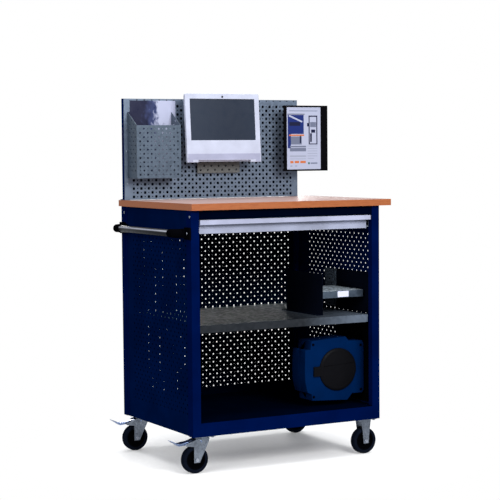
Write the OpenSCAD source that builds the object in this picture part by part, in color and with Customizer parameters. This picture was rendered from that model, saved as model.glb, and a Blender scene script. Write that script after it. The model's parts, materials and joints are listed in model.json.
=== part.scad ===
// Mobile workbench: a perforated steel cabinet on castors with one drawer, a shelf,
// a push handle, a beech worktop and an upper perforated panel that carries a
// document pocket, a tilting screen and a swivelling display panel.

/* [Cabinet] */
// Outer width of the cabinet
body_w = 1000; // [1000:10:1200]
// Outer depth of the cabinet
body_d = 750; // [700:10:800]
// Height from the underside of the cabinet to the underside of the worktop
body_h = 1020; // [960:10:1080]
// Thickness of the folded steel profiles
steel_t = 2; // [1.5:0.5:2.5]
// Thickness of the perforated sheets
sheet_t = 1.5; // [1:0.5:2]
// Face width of the corner posts
post_w = 41; // [38:1:46]
// Depth of the corner posts along the side
post_d = 40; // [36:1:44]
// Height of the blue apron below the floor
apron_h = 62; // [56:1:66]

/* [Perforation] */
// Distance between neighbouring hole rows and columns
hole_pitch = 20; // [19:1:20]
// Diameter of the hook holes
hole_d = 9.6; // [8:0.2:10]
// Columns of holes in the back sheet and the upper sheet
back_columns = 45; // [41:2:45]
// Rows of holes in the back sheet
back_rows = 44; // [38:2:44]
// Columns of holes in a side sheet
side_columns = 29; // [25:2:29]
// Rows of holes in a side sheet
side_rows = 40; // [34:2:40]
// Rows of holes in the upper sheet
upper_rows = 23; // [21:2:23]

/* [Worktop] */
// Width of the worktop
top_w = 1060; // [1010:10:1060]
// Depth of the worktop
top_d = 790; // [760:10:800]
// Thickness of the worktop
top_t = 30; // [25:5:40]
// How far the worktop stands out past the left side of the cabinet
top_left = 5; // [0:1:20]
// How far the worktop stands out past the front of the cabinet
top_front = 20; // [20:5:40]

/* [Upper panel] */
// Width of the upper perforated sheet
upper_w = 970; // [960:10:1000]
// Height of the upper perforated sheet
upper_h = 489; // [480:1:500]
// Distance from the back of the cabinet to the front of the upper sheet
upper_setback = 40; // [40:5:60]
// Size of the square uprights along the width
upright_w = 30; // [20:5:40]
// Size of the uprights along the depth
upright_d = 22; // [20:1:30]

/* [Drawer and shelf] */
// Height of the drawer front
drawer_h = 63; // [60:1:70]
// Depth of the drawer box
drawer_d = 600; // [500:10:620]
// Travel of the drawer
drawer_travel = 450; // [300:10:450]
// How far the grip strip stands out from the drawer front
grip_d = 28; // [20:1:30]
// Height of the grip strip
grip_h = 22; // [18:1:26]
// Height of the shelf surface above the ground
shelf_z = 670; // [560:10:720]
// Height of the shelf lip
shelf_lip = 36; // [30:1:40]

/* [Castors] */
// Diameter of the wheels
wheel_d = 125; // [125:1:125]
// Width of the tyres
wheel_w = 38; // [34:1:40]
// Height of the castors with their top plates
castor_h = 170; // [168:1:172]
// Distance from the swivel axis to the wheel axis
trail = 38; // [36:1:40]
// Distance from the middle of the cabinet to the castor plates, along the depth
castor_y = 322; // [310:1:322]
// Distance from the middle of the cabinet to the swivel axes
swivel_x = 430; // [420:1:435]
// Distance from the middle of the cabinet to the fixed castors
fixed_x = 440; // [430:1:445]

/* [Accessories] */
// Half of the overall width, from the brake pedals to the display panel
reach = 592; // [585:1:600]
// Backward lean of the screen in degrees
screen_lean = 4; // [0:1:6]
// Width of the screen housing
screen_w = 410; // [400:5:420]
// Height of the screen housing
screen_h = 336; // [330:1:340]

/* [Hidden] */
$fn = 48;
hole_fn = 20;

steel_blue = [0.01, 0.07, 0.30];
galvanised = [0.45, 0.50, 0.53];
dark_plastic = [0.04, 0.04, 0.05];

// The origin is on the ground under the middle of the cabinet.
half_w = body_w / 2;
half_d = body_d / 2;
base_z = castor_h;
body_top = base_z + body_h;
top_z = body_top + top_t;
floor_z = base_z + apron_h;
opening_w = body_w - 2 * post_w;
sheet_inset = 6;
side_x = half_w - sheet_inset;
flange_d = 32;
lip_d = 18;
rail_top_h = 40;
fit = 0.05;
gap = 0.3;
overlap = 1;

// ---- Shared shapes ----

module both_sides() {
    children();
    mirror([1, 0, 0]) children();
}

module front_and_back() {
    children();
    mirror([0, 1, 0]) children();
}

// A box given by its lowest and highest corners.
module span(low, high) {
    translate(low) cube(high - low);
}

// A rectangle with round corners, centred, exact arcs.
module rounded_rectangle(w, h, r) {
    square([w - 2 * r, h], center = true);
    square([w, h - 2 * r], center = true);
    for (x = [-1, 1], y = [-1, 1]) {
        translate([x * (w / 2 - r), y * (h / 2 - r)]) circle(r);
    }
}

// Turns a flat drawing so that its y runs up and its thickness runs back (+Y).
module upright(thickness) {
    translate([0, thickness, 0]) rotate([90, 0, 0]) linear_extrude(thickness) children();
}

// Turns a flat drawing so that its x runs back and its thickness runs right (+X).
module sideways(thickness) {
    rotate([90, 0, 90]) linear_extrude(thickness) children();
}

// The hook holes: every second place of a square grid, staggered from row to row.
module hole_field(columns, rows) {
    for (r = [0 : rows - 1], c = [0 : columns - 1]) {
        if ((r + c) % 2 == 0) {
            translate([c * hole_pitch, r * hole_pitch]) circle(d = hole_d, $fn = hole_fn);
        }
    }
}

// A low round screw head that stands on the plane z = 0.
module screw_head(r, h) {
    rotate_extrude() polygon([[0, 0], [r, 0], [r, h * 0.4], [r * 0.7, h], [0, h]]);
}

// ---- Cabinet ----

pan_side = side_x - sheet_t;

module floor_pan() {
    notch = post_d + lip_d + gap;
    inner = opening_w / 2;
    color(steel_blue) {
        translate([0, 0, floor_z - steel_t]) linear_extrude(steel_t)
            polygon([[-inner, -half_d], [inner, -half_d], [inner, notch - half_d],
                     [pan_side, notch - half_d], [pan_side, half_d - notch],
                     [inner, half_d - notch], [inner, half_d], [-inner, half_d],
                     [-inner, half_d - notch], [-pan_side, half_d - notch],
                     [-pan_side, notch - half_d], [-inner, notch - half_d]]);
        front_and_back()
            span([-inner, -half_d, base_z], [inner, steel_t - half_d, floor_z]);
    }
}

rail_in = 130;

module base_rails() {
    out = half_w - 8;
    end = half_d - steel_t;
    low = base_z;
    high = floor_z - steel_t;
    color(steel_blue) both_sides() difference() {
        span([-out, -end, low], [rail_in - half_w, end, high]);
        span([steel_t - out, -end - overlap, low + 4],
             [rail_in - half_w - steel_t, end + overlap, high + overlap]);
    }
}

// Plan of a folded post with its outer corner at the origin.
module post_plan() {
    square([post_w, steel_t]);
    square([steel_t, post_d]);
    translate([0, post_d - steel_t]) square([sheet_inset, steel_t]);
    translate([sheet_inset - steel_t, post_d - steel_t]) square([steel_t, lip_d]);
}

module post_pair() {
    both_sides() translate([-half_w, -half_d, 0]) {
        translate([0, 0, base_z]) linear_extrude(body_h) post_plan();
        translate([post_w - steel_t, 0, floor_z + 2]) cube([steel_t, flange_d, body_h - apron_h - 2]);
    }
}

module front_posts() {
    color(steel_blue) post_pair();
}

module rear_posts() {
    color(steel_blue) mirror([0, 1, 0]) post_pair();
}

side_hole_front = -307;
side_hole_low = 270;
side_sheet_end = half_d - post_d - 2;

module side_sheet() {
    color(steel_blue) translate([side_x - sheet_t, 0, 0]) sideways(sheet_t) difference() {
        translate([-side_sheet_end, base_z + 2]) square([2 * side_sheet_end, body_h - 4]);
        translate([side_hole_front, side_hole_low]) hole_field(side_columns, side_rows);
    }
}

module side_sheet_left() {
    mirror([1, 0, 0]) side_sheet();
}

module side_sheet_right() {
    side_sheet();
}

hole_left = -450;
back_hole_low = 275;
back_y = half_d - 12;

module back_sheet() {
    color(steel_blue) translate([0, back_y, 0]) upright(sheet_t) difference() {
        translate([-opening_w / 2, floor_z]) square([opening_w, body_h - apron_h - rail_top_h]);
        translate([hole_left, back_hole_low]) hole_field(back_columns, back_rows);
    }
}

module rail_along_width() {
    low = body_top - rail_top_h;
    depth = 40;
    difference() {
        span([-opening_w / 2, -half_d, low], [opening_w / 2, depth - half_d, body_top]);
        span([-opening_w, steel_t - half_d, low - overlap],
             [opening_w, depth - half_d + overlap, body_top - steel_t]);
    }
}

module top_rails() {
    color(steel_blue) front_and_back() rail_along_width();
}

module worktop() {
    x = -half_w - top_left + top_w / 2;
    y = -half_d - top_front + top_d / 2;
    color([0.72, 0.42, 0.22]) translate([x, y, body_top]) linear_extrude(top_t)
        rounded_rectangle(top_w, top_d, 4);
}

shelf_half = 455;
shelf_front = -half_d + 32;
shelf_back = back_y - 2;

module shelf() {
    color(galvanised) {
        span([-shelf_half, shelf_front, shelf_z - steel_t], [shelf_half, shelf_back, shelf_z]);
        span([-shelf_half, shelf_front, shelf_z - shelf_lip],
             [shelf_half, shelf_front + steel_t, shelf_z]);
        span([-shelf_half, shelf_back - steel_t, shelf_z - shelf_lip],
             [shelf_half, shelf_back, shelf_z]);
    }
}

// Angles on the side sheets that the shelf rests on.
module shelf_rails() {
    wall = side_x - sheet_t;
    end = half_d - post_d - lip_d - 10;
    low = shelf_z - steel_t - 30;
    high = shelf_z - steel_t;
    color(steel_blue) both_sides() {
        span([wall - steel_t, -end, low], [wall, end, high]);
        span([shelf_half - 30, -end, high - steel_t], [wall, end, high]);
    }
}

screw_z = body_top - 29;

module frame_screws() {
    color("silver") both_sides() for (y = [12 - half_d, half_d - 34]) {
        translate([half_w, y, screw_z]) rotate([0, 90, 0]) screw_head(5, 2.5);
    }
}

// ---- Push handle on the left side ----

handle_x = -half_w - 52;
handle_z = 1087;
handle_r = 16;
handle_back = 267;
handle_front = -handle_back;
bracket_l = 110;
foot_l = 52;
bracket_foot = 10;

module handle_tube() {
    color(dark_plastic) translate([handle_x, handle_front, handle_z]) rotate([-90, 0, 0])
        difference() {
            cylinder(r = handle_r, h = handle_back - handle_front);
            translate([0, 0, -overlap])
                cylinder(r = handle_r - 2, h = handle_back - handle_front + 2 * overlap);
        }
}

// One cast bracket: a socket on the tube's end and a foot on the cabinet's side.
module handle_bracket() {
    hull() {
        rotate([90, 0, 0]) cylinder(r = handle_r + 3, h = 50, $fn = 32);
        translate([12, -foot_l, 0]) rotate([0, 90, 0]) cylinder(r = 20, h = 20, $fn = 32);
    }
    translate([-half_w - handle_x - bracket_foot, -bracket_l, -27]) cube([bracket_foot, foot_l, 54]);
    hull() {
        translate([30, -bracket_l + 36, -20]) cube([20, 40, 40]);
        translate([10, -40, -16]) cube([10, 20, 32]);
    }
}

module handle_brackets() {
    color(dark_plastic) translate([handle_x, 0, handle_z]) front_and_back()
        translate([0, handle_front, 0]) handle_bracket();
}

module handle_screws() {
    color("silver") translate([-half_w - bracket_foot, 0, handle_z]) front_and_back()
        translate([0, handle_front - bracket_l + 24, 0]) rotate([0, -90, 0]) screw_head(6, 3);
}

// ---- Drawer ----

drawer_top = body_top - rail_top_h - 4;
drawer_low = drawer_top - drawer_h;
front_y = -half_d + grip_d;
tray_half = 440;
rail_x = opening_w / 2;
slide_z = drawer_low + 26;
slide_h = 36;
slide_t = 1.5;
slide_l = drawer_travel + 110;
slide_front = front_y + 8;

module drawer_tray() {
    t = 1.5;
    low = drawer_low + 3;
    high = drawer_top - 7;
    back = front_y + steel_t + drawer_d;
    color(galvanised) difference() {
        span([-tray_half, front_y + steel_t, low], [tray_half, back, high]);
        span([t - tray_half, front_y + steel_t + t, low + t], [tray_half - t, back - t, high + overlap]);
    }
}

front_half = 445;

module drawer_front() {
    color([0.70, 0.72, 0.80])
        span([-front_half, front_y, drawer_low], [front_half, front_y + steel_t, drawer_top]);
}

strip_half = 453;

// The grip strip: a channel that a hand reaches into from below.
module drawer_grip_strip() {
    color([0.75, 0.76, 0.85])
        translate([-strip_half, front_y, drawer_top]) sideways(2 * strip_half)
            polygon([[0, 0], [-grip_d + 3, 0], [-grip_d, -3], [-grip_d, -grip_h],
                     [-grip_d + 2.5, -grip_h], [-grip_d + 2.5, -4], [-2.5, -4],
                     [-2.5, -grip_h + 4], [0, -grip_h + 4]]);
}

// Fixed channel of a drawer slide, open towards the drawer.
module drawer_slide_rails() {
    depth = rail_x - tray_half - 6;
    front = front_y + 1;
    color("silver") both_sides() difference() {
        span([rail_x - depth, front, slide_z - slide_h / 2],
             [rail_x, slide_front + slide_l, slide_z + slide_h / 2]);
        span([rail_x - depth - overlap, front - overlap, slide_z - slide_h / 2 + slide_t],
             [rail_x - slide_t, slide_front + slide_l + overlap, slide_z + slide_h / 2 - slide_t]);
    }
}

// Moving member: a flat bar on the drawer with a web that runs in the channel.
module drawer_slide_runners() {
    half = slide_h / 2 - slide_t - 1;
    color("silver") both_sides() {
        span([tray_half, slide_front, slide_z - half],
             [tray_half + 10, slide_front + slide_l, slide_z + half]);
    }
}

// ---- Upper panel ----

upper_y = half_d - upper_setback;
upper_left = -half_w + 1;
upper_hole_low = top_z + 15;

module upper_sheet() {
    color(galvanised) translate([0, upper_y, 0]) upright(sheet_t) difference() {
        translate([upper_left, top_z + 1]) square([upper_w, upper_h]);
        translate([hole_left, upper_hole_low]) hole_field(back_columns, upper_rows);
    }
}

upright_y = upper_y + sheet_t;

module upper_upright() {
    foot = 4;
    difference() {
        span([0, upright_y, top_z], [upright_w, upright_y + upright_d, top_z + upper_h]);
        span([steel_t, upright_y + steel_t, top_z - overlap],
             [upright_w - steel_t, upright_y + upright_d - steel_t, top_z + upper_h - steel_t]);
    }
    span([0, upright_y + upright_d, top_z], [upright_w, upright_y + upright_d + 26, top_z + foot]);
}

module upper_uprights() {
    color(steel_blue) {
        translate([-half_w, 0, 0]) upper_upright();
        translate([upper_left + upper_w - upright_w, 0, 0]) upper_upright();
    }
}

// Closes the panel from behind, with a flange over its top edge.
module upper_back_sheet() {
    back = upright_y + upright_d;
    top = top_z + upper_h;
    right = upper_left + upper_w;
    color(steel_blue) {
        span([-half_w, back, top_z + 5], [right, back + sheet_t, top]);
        span([-half_w, upright_y, top], [right, back + sheet_t, top + 1]);
    }
}

module upper_screws() {
    xs = [upright_w / 2 - half_w, upper_left + upper_w - upright_w / 2];
    color("silver") for (x = xs, z = [top_z + 78, top_z + 234, top_z + 342]) {
        translate([x, upper_y, z]) rotate([90, 0, 0]) screw_head(3.5, 1.8);
    }
}

// ---- Document pocket ----

pocket_left = -480;
pocket_right = -245;
pocket_low = 1326;
pocket_high = 1701;
pocket_front_h = 254;
pocket_rise = 66;
pocket_d = 102;
pocket_t = 1.5;
pocket_y = upper_y - 3;
cheek_high = pocket_low + pocket_front_h + pocket_rise;

// The back plate: as wide as the box below, and narrower above the cheeks.
module pocket_back() {
    left = pocket_left + 13;
    right = pocket_right + 22;
    color(galvanised) {
        translate([0, pocket_y, 0]) upright(pocket_t)
            polygon([[pocket_left, pocket_low], [right, pocket_low], [right, pocket_high],
                     [left, pocket_high], [left, cheek_high], [pocket_left, cheek_high]]);
        for (x = [left + 40, right - 40]) {
            span([x - 4, pocket_y + pocket_t, pocket_high - 60], [x + 4, upper_y, pocket_high - 50]);
        }
    }
}

// Small holes halfway between the hook holes.
module fine_field(columns, rows) {
    for (c = [0 : columns - 1], r = [0 : rows - 1]) {
        if ((c + r) % 2 == 1) {
            translate([c * hole_pitch, r * hole_pitch]) circle(d = 4.4, $fn = 12);
        }
    }
}

// Floor, front and two cheeks, folded from one perforated sheet.
module pocket_front() {
    front = pocket_y - pocket_d;
    high = pocket_low + pocket_front_h;
    color(galvanised) {
        translate([0, front, 0]) upright(pocket_t) difference() {
            translate([pocket_left, pocket_low]) square([pocket_right - pocket_left, pocket_front_h]);
            translate([pocket_left + 18, pocket_low + 17]) {
                hole_field(11, 12);
                fine_field(11, 12);
            }
        }
        span([pocket_left, front, pocket_low], [pocket_right, pocket_y, pocket_low + pocket_t]);
        for (x = [pocket_left, pocket_right - pocket_t]) {
            translate([x, 0, 0]) sideways(pocket_t) difference() {
                polygon([[front, pocket_low], [pocket_y, pocket_low],
                         [pocket_y, cheek_high], [front, high]]);
                translate([front + 19, pocket_low + 37]) {
                    hole_field(4, 13);
                    fine_field(4, 11);
                }
            }
        }
    }
}

// ---- Screen ----

screen_x = -12;
screen_y = 250;
screen_z = 1565.5;
screen_t = 50;
bezel_t = 14;
glass_w = 359;
glass_h = 203;
glass_up = 41;
pivot_y = upper_y - 40;
pivot_z = screen_z - 10;

// Places parts that lean with the screen; the face is at y = 0 here.
module in_screen() {
    translate([screen_x, screen_y, screen_z]) rotate([-screen_lean, 0, 0])
        translate([0, -bezel_t - 8, 0]) children();
}

module screen_mount_plate() {
    plate_x = screen_x + 18;
    plate_y = upper_y - 17;
    plate_w = 237;
    plate_low = 1346;
    plate_h = 290;
    color(galvanised) {
        translate([0, plate_y, 0]) upright(steel_t) difference() {
            translate([plate_x - plate_w / 2, plate_low]) square([plate_w, plate_h]);
            translate([plate_x - 100, plate_low + 15]) hole_field(11, 3);
        }
        for (x = [-1, 1]) {
            translate([plate_x + x * (plate_w / 2 - steel_t / 2) - steel_t / 2, plate_y, plate_low + 60])
                cube([steel_t, 17, plate_h - 60]);
        }
        for (x = [-32, 27]) {
            translate([screen_x + x, 0, 0]) difference() {
                span([0, pivot_y - 10, pivot_z - 18], [5, plate_y, pivot_z + 18]);
                translate([-overlap, pivot_y, pivot_z]) rotate([0, 90, 0]) cylinder(r = 5, h = 10);
            }
        }
    }
}

module screen_tilt_head() {
    color(dark_plastic) {
        translate([screen_x - 36, pivot_y, pivot_z]) rotate([0, 90, 0])
            cylinder(r = 5 - fit, h = 72);
        translate([screen_x - 26, pivot_y, pivot_z]) rotate([0, 90, 0]) cylinder(r = 9, h = 52);
        in_screen() span([-24, screen_t, -30], [24, screen_t + 12, 20]);
    }
}

cover_step = 11;
cover_side = 12;

// The back of the housing narrows in three steps and ends in a square boss.
module screen_rear_cover() {
    boss_w = 140;
    color([0.86, 0.87, 0.92]) in_screen() {
        for (i = [0 : 2]) {
            inset = 8 + 2 * cover_side * i;
            translate([0, bezel_t + cover_step * i, 0]) upright(cover_step)
                rounded_rectangle(screen_w - inset, screen_h - inset, 8);
        }
        translate([0, bezel_t + 3 * cover_step, 0]) upright(screen_t - bezel_t - 3 * cover_step)
            rounded_rectangle(boss_w, boss_w, 8);
    }
}

foot_h = 10;

module screen_bezel() {
    color([0.90, 0.91, 0.95]) in_screen() {
        upright(bezel_t) difference() {
            translate([0, foot_h / 2]) rounded_rectangle(screen_w, screen_h - foot_h, 8);
            translate([0, glass_up]) square([glass_w, glass_h], center = true);
        }
        for (x = [-1, 1]) {
            translate([x * (screen_w / 2 - 30), 0, -screen_h / 2]) upright(bezel_t)
                translate([-30, 0]) square([60, foot_h + 8]);
        }
    }
}

module screen_glass() {
    color([0.25, 0.30, 0.36]) in_screen() translate([0, 3, glass_up]) upright(bezel_t - 3)
        square([glass_w, glass_h], center = true);
}

// ---- Swivelling display panel ----

display_w = 256;
display_h = 330;
display_low = 1350;
display_t = 8;
display_y = 234;
hinge_r = 5;
hinge_x = reach - 160;
hinge_y = display_y + display_t + 32;
arm_z = 50;
knuckle_h = 80;
display_mid = display_low + display_h / 2;

module display_bracket() {
    plate_y = upper_y - 2;
    color([0.60, 0.58, 0.54]) {
        span([hinge_x - 32, plate_y, display_mid - 60], [hinge_x + 18, upper_y, display_mid + 60]);
        for (z = [-arm_z, arm_z]) {
            span([hinge_x - 12, hinge_y - 12, display_mid + z - 3],
                 [hinge_x + 12, plate_y, display_mid + z + 3]);
        }
        translate([hinge_x, hinge_y, display_mid - arm_z]) cylinder(r = hinge_r, h = 2 * arm_z);
    }
}

module display_frame() {
    left = reach - display_w;
    back = display_y + display_t;
    low = display_mid - knuckle_h / 2;
    high = display_mid + knuckle_h / 2;
    color(dark_plastic) {
        difference() {
            span([left, display_y, display_low], [reach, back, display_low + display_h]);
            span([left + page_left, display_y - overlap, display_low + page_edge],
                 [reach - page_right, back - page_back, display_low + display_h - page_edge]);
        }
        difference() {
            union() {
                translate([hinge_x, hinge_y, low]) cylinder(r = hinge_r + 4, h = knuckle_h);
                span([hinge_x - 4, back - overlap, low], [hinge_x + 4, hinge_y, high]);
                span([hinge_x - 30, back - overlap, low], [hinge_x + 30, back + 3, high]);
            }
            translate([hinge_x, hinge_y, display_low]) cylinder(r = hinge_r + fit, h = display_h);
        }
    }
}

page_left = 16;
page_right = 41;
page_edge = 8;
page_back = 2;

module display_page() {
    color([0.90, 0.91, 0.94])
        span([reach - display_w + page_left, display_y + 2, display_low + page_edge],
             [reach - page_right, display_y + display_t - page_back, display_low + display_h - page_edge]);
}

// ---- Small shelf between two plates on the main shelf ----

divider_x = 250;
divider_front = -270;
divider_back = 68;
divider_h = 198;
side_shelf_z = 783;
side_shelf_lip = 33;
side_shelf_right = 476;
side_shelf_back = 10;

// A folded plate left of the small shelf and a flat one before the right side sheet.
module shelf_dividers() {
    wall = side_x - sheet_t;
    top = shelf_z + divider_h;
    color([0.02, 0.03, 0.10]) {
        span([divider_x - steel_t, divider_front, shelf_z], [divider_x, divider_back, top]);
        span([divider_x - 30, divider_front, shelf_z], [divider_x, divider_back, shelf_z + steel_t]);
        span([wall - 2.5, divider_front - 24, shelf_z], [wall - 0.5, 0, top]);
    }
}

// A sheet with its rim folded down and two ears that hook into the bracket.
module side_shelf() {
    low = side_shelf_z - side_shelf_lip;
    ear = 13;
    color(galvanised) {
        difference() {
            span([divider_x, divider_front, low], [side_shelf_right, side_shelf_back, side_shelf_z]);
            span([divider_x + sheet_t, divider_front + sheet_t, low - overlap],
                 [side_shelf_right - sheet_t, side_shelf_back - sheet_t, side_shelf_z - sheet_t]);
        }
        for (y = [-4, 4]) {
            span([side_shelf_right - overlap, y, low + 8], [side_x - sheet_t - 5, y + 2, low + 8 + ear]);
        }
    }
}

module side_shelf_bracket() {
    wall = side_x - sheet_t;
    low = shelf_z + 10;
    color(galvanised) translate([wall - 5, -5, 0]) sideways(2) difference() {
        translate([0, low]) square([103, divider_h - 12]);
        translate([20, low + 12]) hole_field(4, 9);
    }
}

// ---- Reel in the lower compartment ----

reel_x = 328;
drum_x = 334;
reel_z = 406;
reel_front = -262;
reel_d = 120;
reel_split = 60;
reel_wall = 4;
drum_r = 112;
drum_w = reel_d - 32;
core_r = 60;
flange_t = 4;
shaft_r = 12;

// Front view: a bulging body with a ridge above and a foot below.
module reel_outline(inset) {
    offset(delta = -inset) polygon([
        [-172, 102], [-144, 102], [-136, 143], [53, 154], [71, 133], [146, 130], [156, 118],
        [156, -114], [147, -124], [89, -123], [62, -153], [-135, -142], [-137, -112],
        [-161, -102], [-173, -50], [-175, 0], [-174, 50]]);
}

module reel_rear_shell() {
    back = reel_front + reel_d;
    color([0.01, 0.12, 0.36]) {
        translate([reel_x, reel_front + reel_split, reel_z])
            upright(reel_d - reel_split - reel_wall) difference() {
                reel_outline(0);
                reel_outline(reel_wall);
            }
        translate([reel_x, back - reel_wall, reel_z]) upright(reel_wall) reel_outline(0);
        translate([drum_x, back - reel_wall, reel_z]) rotate([90, 0, 0])
            cylinder(r = shaft_r, h = reel_d - 4 * reel_wall);
    }
}

module reel_front_shell() {
    color([0.01, 0.14, 0.40]) {
        translate([reel_x, reel_front + reel_wall, reel_z]) upright(reel_split - reel_wall) difference() {
            reel_outline(0);
            reel_outline(reel_wall);
        }
        difference() {
            translate([reel_x, reel_front, reel_z]) upright(reel_wall) reel_outline(0);
            translate([drum_x, reel_front + 2 * reel_wall, reel_z]) rotate([90, 0, 0])
                cylinder(r = 70, h = 3 * reel_wall);
        }
    }
}

module reel_cover() {
    color(dark_plastic) translate([drum_x, reel_front, reel_z]) {
        rotate([90, 0, 0]) rotate_extrude($fn = 96)
            polygon([[0, 0], [102, 0], [102, 6], [95, 10], [80, 13], [0, 14]]);
        translate([-135, -9, -26]) cube([50, 9, 46]);
    }
}

module reel_drum() {
    color([0.12, 0.12, 0.13]) translate([drum_x, reel_front + 20, reel_z]) rotate([-90, 0, 0])
        rotate_extrude($fn = 96)
            polygon([[shaft_r + fit, 0], [drum_r, 0], [drum_r, flange_t], [core_r, flange_t],
                     [core_r, drum_w - flange_t], [drum_r, drum_w - flange_t],
                     [drum_r, drum_w], [shaft_r + fit, drum_w]]);
}

// A wide plate on the right side sheet with an arm behind the reel.
module reel_bracket() {
    wall = side_x - sheet_t;
    back = reel_front + reel_d;
    t = 4;
    color([0.10, 0.10, 0.11]) {
        span([drum_x - 60, back, reel_z - 60], [wall, back + t, reel_z + 60]);
        span([wall - t, -294, floor_z + 8], [wall, 0, shelf_z - shelf_lip - 8]);
    }
}

// ---- Castors ----

wheel_r = wheel_d / 2;
axle_z = wheel_r;
axle_r = 6;
plate_t = 4;
race_r = 30;
fork_top = castor_h - plate_t - 5.6 - gap;
fork_t = 3;
fork_in = wheel_w / 2 + 5;
hub_r = 46;
pin_r = 7;
bolt_dx = 80;
bolt_dy = 60;
bolt_r = 4.25;
swivel_places = [[-swivel_x, -castor_y], [-swivel_x, castor_y]];
fixed_places = [[fixed_x, -castor_y], [fixed_x, castor_y]];

module bolt_places() {
    for (x = [-1, 1], y = [-1, 1]) {
        translate([x * bolt_dx / 2, y * bolt_dy / 2, 0]) children();
    }
}

module castor_plate() {
    difference() {
        translate([0, 0, castor_h - plate_t]) linear_extrude(plate_t) rounded_rectangle(105, 85, 8);
        translate([0, 0, castor_h - plate_t - overlap]) bolt_places()
            cylinder(r = bolt_r, h = plate_t + 2 * overlap);
    }
}

module castor_plates() {
    color("silver") {
        for (p = swivel_places) translate(p) {
            castor_plate();
            translate([0, 0, fork_top + gap]) cylinder(r = race_r, h = castor_h - plate_t - fork_top - gap);
            translate([0, 0, fork_top - 10]) cylinder(r = pin_r, h = 12);
            translate([0, 0, fork_top - 12]) cylinder(r = pin_r + 4, h = 12 - fork_t - 4 - gap);
        }
        for (p = fixed_places) translate(p) castor_plate();
    }
}

// Hexagon heads under the castor plates.
module castor_bolts() {
    head = 5;
    color([0.75, 0.76, 0.78]) for (p = concat(swivel_places, fixed_places)) translate(p) bolt_places() {
        translate([0, 0, castor_h - plate_t - head]) cylinder(r = 7, h = head, $fn = 6);
        translate([0, 0, castor_h - plate_t - 0.5]) cylinder(r = 4, h = plate_t + 0.5);
    }
}

pedal_in = 16;
pedal_z = 146;
cheek_foot = 14;
cheek_top = 26;

// A swivel fork's cheek in the plane of the wheel, with a wing below the brake pedal.
module swivel_cheek() {
    polygon([[cheek_top, fork_top], [cheek_top - 2, fork_top - 14], [cheek_foot - trail, axle_z - 12],
             [-cheek_foot - trail, axle_z - 12], [-cheek_foot - trail, 124], [-92, 130],
             [-96, 138], [-cheek_top, fork_top]]);
}

// A fixed fork's cheek is the same on both sides of the axle.
module fixed_cheek() {
    polygon([[-cheek_top, fork_top], [cheek_top, fork_top], [cheek_foot + 2, axle_z + 20],
             [cheek_foot, axle_z - 12], [-cheek_foot, axle_z - 12], [-cheek_foot - 2, axle_z + 20]]);
}

// Two cheeks, given as a flat drawing, and the bridge between them.
module fork(axle_x, bridge_bore) {
    difference() {
        union() {
            for (y = [-fork_in - fork_t, fork_in]) {
                translate([0, y, 0]) upright(fork_t) children();
            }
            span([-cheek_top, -fork_in - fork_t, fork_top - 4], [cheek_top, fork_in + fork_t, fork_top]);
        }
        translate([axle_x, -fork_in * 2, axle_z]) rotate([-90, 0, 0])
            cylinder(r = axle_r + 0.02, h = fork_in * 4);
        translate([0, 0, fork_top - 20]) cylinder(r = bridge_bore, h = 40);
    }
}

module swivel_fork() {
    color([0.55, 0.58, 0.62]) difference() {
        fork(-trail, pin_r + fit) swivel_cheek();
        translate([-pedal_in, -fork_in * 2, pedal_z]) rotate([-90, 0, 0]) cylinder(r = 4, h = fork_in * 4);
    }
}

module fork_front_left() {
    translate(swivel_places[0]) swivel_fork();
}

module fork_rear_left() {
    translate(swivel_places[1]) swivel_fork();
}

module fixed_forks() {
    color([0.55, 0.58, 0.62]) for (p = fixed_places) translate(p) {
        fork(0, 4) fixed_cheek();
        span([-cheek_top, -fork_in - fork_t, fork_top], [cheek_top, fork_in + fork_t, castor_h - plate_t]);
    }
}

// A bolt with a head on the front cheek and a nut on the rear one.
module axle(x) {
    outer = fork_in + fork_t;
    color([0.72, 0.74, 0.78]) translate([x, 0, axle_z]) rotate([90, 0, 0]) {
        translate([0, 0, -outer - 1]) cylinder(r = axle_r, h = 2 * outer + 2);
        translate([0, 0, outer]) cylinder(r = 9, h = 5, $fn = 6);
        translate([0, 0, -outer - 6]) cylinder(r = 9, h = 6, $fn = 6);
    }
}

module axle_front_left() {
    translate(swivel_places[0]) axle(-trail);
}

module axle_rear_left() {
    translate(swivel_places[1]) axle(-trail);
}

module fixed_axles() {
    for (p = fixed_places) translate(p) axle(0);
}

// The wheel centre: rim, thin web and a long boss around the axle.
module hub() {
    half = wheel_w / 2;
    boss = fork_in - 0.5;
    color(dark_plastic) rotate([90, 0, 0]) rotate_extrude($fn = 72)
        polygon([[axle_r + fit, -boss], [16, -boss], [18, -8], [38, -8], [40, -half + 3],
                 [hub_r, -half + 3], [hub_r, half - 3], [40, half - 3], [38, 8], [18, 8],
                 [16, boss], [axle_r + fit, boss]]);
}

module tyre() {
    half = wheel_w / 2;
    color([0.11, 0.13, 0.17]) rotate([90, 0, 0]) rotate_extrude($fn = 96)
        polygon([[hub_r + fit, -half + 3], [hub_r + 3, -half], [wheel_r - 8, -half],
                 [wheel_r - 2, -half + 5], [wheel_r, -half + 11], [wheel_r, half - 11],
                 [wheel_r - 2, half - 5], [wheel_r - 8, half], [hub_r + 3, half],
                 [hub_r + fit, half - 3]]);
}

module at_wheel(place, offset_x) {
    translate([place[0] + offset_x, place[1], axle_z]) children();
}

module hub_front_left() {
    at_wheel(swivel_places[0], -trail) hub();
}

module hub_rear_left() {
    at_wheel(swivel_places[1], -trail) hub();
}

module hub_front_right() {
    at_wheel(fixed_places[0], 0) hub();
}

module hub_rear_right() {
    at_wheel(fixed_places[1], 0) hub();
}

module tyre_front_left() {
    at_wheel(swivel_places[0], -trail) tyre();
}

module tyre_rear_left() {
    at_wheel(swivel_places[1], -trail) tyre();
}

module tyre_front_right() {
    at_wheel(fixed_places[0], 0) tyre();
}

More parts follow.
